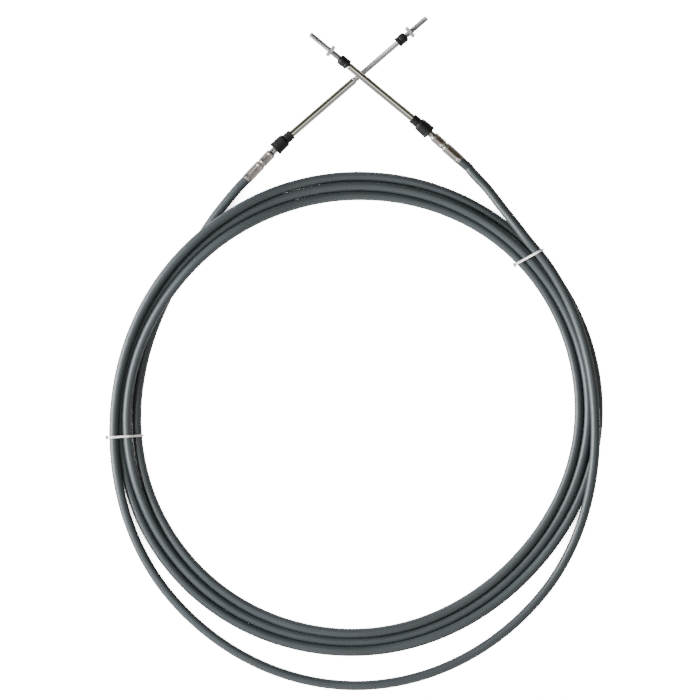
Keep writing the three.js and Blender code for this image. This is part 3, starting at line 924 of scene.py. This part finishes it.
def make_nut(letter, sides=96):
    rear = ends[letter]["tip"] - NUT_TO_TIP[letter]
    front = rear + NUT_THICKNESS
    half = NUT_ACROSS_FLATS / 2

    def shape(radius, place, angle):
        if radius < half * 0.8:
            return radius
        across = (angle % (math.pi / 3)) - math.pi / 6
        depth = min(place - rear, front - place)
        cone = half * 0.98 + depth / CONE_SLOPE
        return min(half / math.cos(across), cone)

    places = [
        rear,
        *(rear + depth for depth in CONE_DEPTHS),
        *(front - depth for depth in reversed(CONE_DEPTHS)),
        front,
    ]
    bore = THREAD_RADIUS + 0.02
    outline = [
        (bore + NUT_CHAMFER, rear), *((half, place) for place in places), (bore + NUT_CHAMFER, front),
        (bore, front - NUT_CHAMFER), (bore, rear + NUT_CHAMFER),
    ]
    piece = turned(f"hex_jam_nut_{letter}", outline, sides, shape)
    piece.data.set_sharp_from_angle(angle=math.radians(14))
    set_down(piece, ends[letter]["ball"], ends[letter]["tube_axis"])
    dress(piece, turned_nut, "nut", f"jam_nut_{letter}")
    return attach(piece, f"slider_{letter}")


for letter in ends:
    print(make_nut(letter).name, "made")

# %% [markdown]
# ## Cable ties
#
# A tie is pulled tight, so its band is the shortest loop round the turns it holds: their convex
# hull, moved out by the band's own thickness. The band is swept along that loop with rounded
# edges, and a small rounded head and a cut tail close it.


# %% The shortest loop round a tie's turns
def turns_at(bearing):
    found = []
    for whole in range(0, 5):
        exact = (whole * 360 + bearing - COIL_START) / COIL_STEP
        if 0 <= exact <= len(coil) - 1:
            low, t = coil[math.floor(exact)], exact - math.floor(exact)
            high = coil[min(math.floor(exact) + 1, len(coil) - 1)]
            radius = low[1] + (high[1] - low[1]) * t
            height = low[2] + (high[2] - low[2]) * t
            found.append(Vector((radius, height + CONDUIT_DIAMETER / 2)))
    return found


def hull_round(centres, reach, fine=48):
    points = sorted(
        (c.x + reach * math.cos(2 * math.pi * k / fine), c.y + reach * math.sin(2 * math.pi * k / fine))
        for c in centres for k in range(fine)
    )

    def chain(ordered):
        kept = []
        for p in ordered:
            while len(kept) > 1:
                (ax, ay), (bx, by) = kept[-2], kept[-1]
                if (bx - ax) * (p[1] - ay) - (by - ay) * (p[0] - ax) > 1e-9:
                    break
                kept.pop()
            kept.append(p)
        return kept[:-1]

    return [Vector(p) for p in chain(points) + chain(points[::-1])]


# %% Band, head and tail
TIE_SLACK = 0.12
BAND_WIDTH = 1.9
TIE_HEAD = (2.4, 4.4, 3.6)
HEAD_OUT = 1.0
TAIL_LENGTH = 1.6
TAIL_UP = 2.6
TAIL_OUT = 0.3


def rounded_box(name, size, ease=0.35):
    mesh = bpy.data.meshes.new(name)
    x, y, z = (s / 2 * MM for s in size)
    corners = [(i * x, j * y, k * z) for i in (-1, 1) for j in (-1, 1) for k in (-1, 1)]
    faces = [(0, 1, 3, 2), (4, 6, 7, 5), (0, 4, 5, 1), (2, 3, 7, 6), (0, 2, 6, 4), (1, 5, 7, 3)]
    mesh.from_pydata(corners, [], faces)
    piece = bpy.data.objects.new(name, mesh)
    bpy.context.scene.collection.objects.link(piece)
    bevel = piece.modifiers.new("ease", "BEVEL")
    bevel.width, bevel.segments = ease * MM, 3
    mesh.shade_smooth()
    return piece


def sweep_band(name, loop, place, centre):
    """Sweep a flat strip with rounded edges along a closed loop in the tie's own plane."""
    half = Vector((TIE_THICKNESS, BAND_WIDTH)) / 2
    section = eased([(-half.x, -half.y), (half.x, -half.y), (half.x, half.y), (-half.x, half.y)], 0.3)
    rings = []
    for i, here in enumerate(loop):
        ahead = (loop[(i + 1) % len(loop)] - loop[i - 1]).normalized()
        normal = Vector((ahead.y, -ahead.x))
        flat = [(here + normal * thick, wide) for thick, wide in section]
        rings.append([centre + place @ Vector((p.x, p.y, wide)) for p, wide in flat])
    return mesh_piece(name, *skin(rings, closed=True))


def make_tie(side, head_side):
    bearing, skew = TIES[side]
    held = turns_at(bearing)
    middle = sum(turn.x for turn in held) / len(held)
    stretch = 1 / math.cos(math.radians(skew))
    held = [Vector(((turn.x - middle) * stretch, turn.y)) for turn in held]
    reach = CONDUIT_DIAMETER / 2 * stretch + TIE_SLACK + TIE_THICKNESS / 2
    out = direction(bearing + skew)
    across = out.cross(UP)
    place = Matrix((out, UP, across)).transposed()
    centre = COIL_CENTRE + direction(bearing) * middle
    band = sweep_band(f"tie_band_{side}", hull_round(held, reach), place, centre)
    dress(band, natural_nylon, "tie", f"cable_tie_{side}")
    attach(band, "root")
    flank = max(held, key=lambda turn: turn.x * head_side)
    beside = flank.x + head_side * (reach + TIE_THICKNESS / 2 + HEAD_OUT)
    seat = centre + place @ Vector((beside, flank.y, 0))
    turn = Matrix((out * head_side, UP, across * head_side)).transposed().to_4x4()
    head = rounded_box(f"tie_head_{side}", TIE_HEAD)
    head.matrix_world = Matrix.Translation(seat * MM) @ turn
    tail = rounded_box(f"tie_tail_{side}", (TIE_THICKNESS, TAIL_LENGTH, BAND_WIDTH), 0.2)
    tail.matrix_world = Matrix.Translation((seat + UP * TAIL_UP + out * head_side * TAIL_OUT) * MM) @ turn
    for extra in (head, tail):
        dress(extra, natural_nylon, "tie")
        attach(extra, "root")
    return band


for side, head_side in (("left", 1), ("right", -1)):
    print(make_tie(side, head_side).name, "round", len(turns_at(TIES[side][0])), "turns")

# %% [markdown]
# ## Table and studio light
#
# Catalogue photographs are taken over a lit white table, so the ground comes out as plain paper
# white with hardly a shadow. Here the table glows for the camera alone, which leaves the cable's
# own shading untouched. The glow fades where the cable shuts the table in, which paints shade on
# the table under the turns, around them and in the slits between them. One large soft box stands
# to the left and draws the pale line on every left flank, and two weak ones, in front and overhead,
# fill in the rest. The sky is a dim room with a dark wall towards the ends, which the polished
# tubes mirror as a thin dark line.

# %% A white table that glows for the camera, with painted shade by the cable
FLOOR_SIZE = 30000
TABLE_GLOW = 16
SHUT_IN = 25
PAINTED_SHADE_FADE = (0.22, 0.42)
SKY_SAMPLES = 8


def make_table():
    half = FLOOR_SIZE / 2
    corners = [Vector((x, y, 0)) for x, y in ((-half, -half), (half, -half), (half, half), (-half, half))]
    table = mesh_piece("table", corners, [(0, 1, 2, 3)])
    recipe = Recipe("white_table")
    mottle = recipe.noise(recipe.place((0.01, 0.01, 0.01)), 1.0, 2.0)
    paper = recipe.ramp(mottle, [(0.3, grey(0.90)), (0.7, grey(0.93))])
    # Ambient occlusion cuts the glow: painted shade on the table under the turns, around them and in the
    # slits between them.
    open_sky = recipe.add("AmbientOcclusion", {"Distance": SHUT_IN * MM}, samples=SKY_SAMPLES).outputs["AO"]
    glow_share_after_painted_shade = recipe.level(open_sky, *PAINTED_SHADE_FADE, 0, 1)
    seen = recipe.add("LightPath").outputs["Is Camera Ray"]
    glow = recipe.add("Math", {0: glow_share_after_painted_shade, 1: seen}, operation="MULTIPLY").outputs["Value"]
    table.data.materials.append(recipe.set(
        Base_Color=paper,
        Roughness=0.9,
        Emission_Color=(1, 1, 1, 1),
        Emission_Strength=recipe.level(glow, 0, 1, 0, TABLE_GLOW),
    ))


# %% Lamps and the dim room
WALL_AHEAD = (0.08, 0.25)
WALL_TOP = (0.88, 0.98)


def make_lamp(name, place, aim, size, watts, colour=(1, 1, 1)):
    lamp = bpy.data.lights.new(name, "AREA")
    lamp.shape = "RECTANGLE"
    lamp.size, lamp.size_y = size[0] * MM, size[1] * MM
    lamp.energy, lamp.color = watts, colour
    holder = bpy.data.objects.new(name, lamp)
    bpy.context.scene.collection.objects.link(holder)
    holder.location = Vector(place) * MM
    holder.rotation_euler = (Vector(aim) - Vector(place)).to_track_quat("-Z", "Y").to_euler()
    return holder


def make_room(strength, light, dark):
    world = bpy.data.worlds.new("dim_room")
    bpy.context.scene.world = world
    world.use_nodes = True
    tree = world.node_tree
    toward = tree.nodes.new("ShaderNodeTexCoord")
    parts = tree.nodes.new("ShaderNodeSeparateXYZ")
    tree.links.new(toward.outputs["Generated"], parts.inputs["Vector"])

    def eased_range(value, low, high, to_low, to_high):
        node = tree.nodes.new("ShaderNodeMapRange")
        node.interpolation_type = "SMOOTHSTEP"
        for key, number in zip(("From Min", "From Max", "To Min", "To Max"), (low, high, to_low, to_high)):
            node.inputs[key].default_value = number
        tree.links.new(value, node.inputs["Value"])
        return node.outputs["Result"]

    wall = tree.nodes.new("ShaderNodeMath")
    wall.operation = "MULTIPLY"
    tree.links.new(eased_range(parts.outputs["Y"], *WALL_AHEAD, 0, 1), wall.inputs[0])
    tree.links.new(eased_range(parts.outputs["Z"], *WALL_TOP, 1, 0), wall.inputs[1])
    paint = tree.nodes.new("ShaderNodeMix")
    paint.data_type = "RGBA"
    paint.inputs["A"].default_value, paint.inputs["B"].default_value = (*light, 1), (*dark, 1)
    tree.links.new(wall.outputs["Value"], paint.inputs["Factor"])
    tree.links.new(paint.outputs["Result"], tree.nodes["Background"].inputs["Color"])
    tree.nodes["Background"].inputs["Strength"].default_value = strength


make_table()
make_lamp("left_box", (-1600, 0, 700), (0, 0, 0), (1500, 1500), 120, (0.97, 0.98, 1.0))
make_lamp("front_box", (200, -1700, 900), (0, 0, 0), (2200, 1100), 11, (1.0, 0.98, 0.95))
make_lamp("overhead_box", (0, -200, 2200), (0, 0, 0), (1400, 1400), 5)
make_room(0.42, (1, 0.99, 0.97), (0.17, 0.15, 0.06))
print("table and lamps set")
